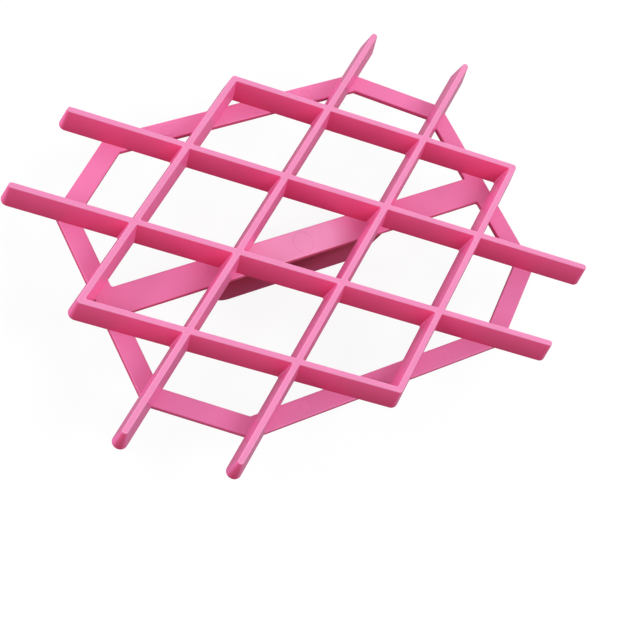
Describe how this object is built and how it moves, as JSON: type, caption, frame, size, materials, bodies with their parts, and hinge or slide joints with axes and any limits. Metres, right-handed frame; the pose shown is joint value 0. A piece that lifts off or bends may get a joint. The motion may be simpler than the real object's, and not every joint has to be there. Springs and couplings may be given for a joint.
{
  "type": "fondant embosser",
  "caption": "Diamond-lattice icing embosser: crossing wedge blades on an octagonal ring of flat straps, with a crossbar and a fin grip behind.",
  "frame": {"origin": "centre of the grip fin's flat tip, on the lowest plane of the part", "axes": "+X along the crossbar and the lattice's long diagonal, +Y along its short diagonal, +Z from the grip's tip to the embossing edges"},
  "size_m": [0.1292, 0.0958, 0.0247],
  "materials": {
    "pink_plastic": "semi-gloss injection-moulded plastic"
  },
  "bodies": {
    "root": {"falling_blade_back_outer": "pink_plastic", "falling_blade_back_inner": "pink_plastic", "falling_blade_front_inner": "pink_plastic", "falling_blade_front_outer": "pink_plastic", "rising_blade_left_outer": "pink_plastic", "rising_blade_left_inner": "pink_plastic", "rising_blade_right_inner": "pink_plastic", "rising_blade_right_outer": "pink_plastic", "ring_strap_right": "pink_plastic", "ring_strap_back_right": "pink_plastic", "ring_strap_back": "pink_plastic", "ring_strap_back_left": "pink_plastic", "ring_strap_left": "pink_plastic", "ring_strap_front_left": "pink_plastic", "ring_strap_front": "pink_plastic", "ring_strap_front_right": "pink_plastic", "crossbar": "pink_plastic", "grip_fin": "pink_plastic"}
  },
  "joints": []
}
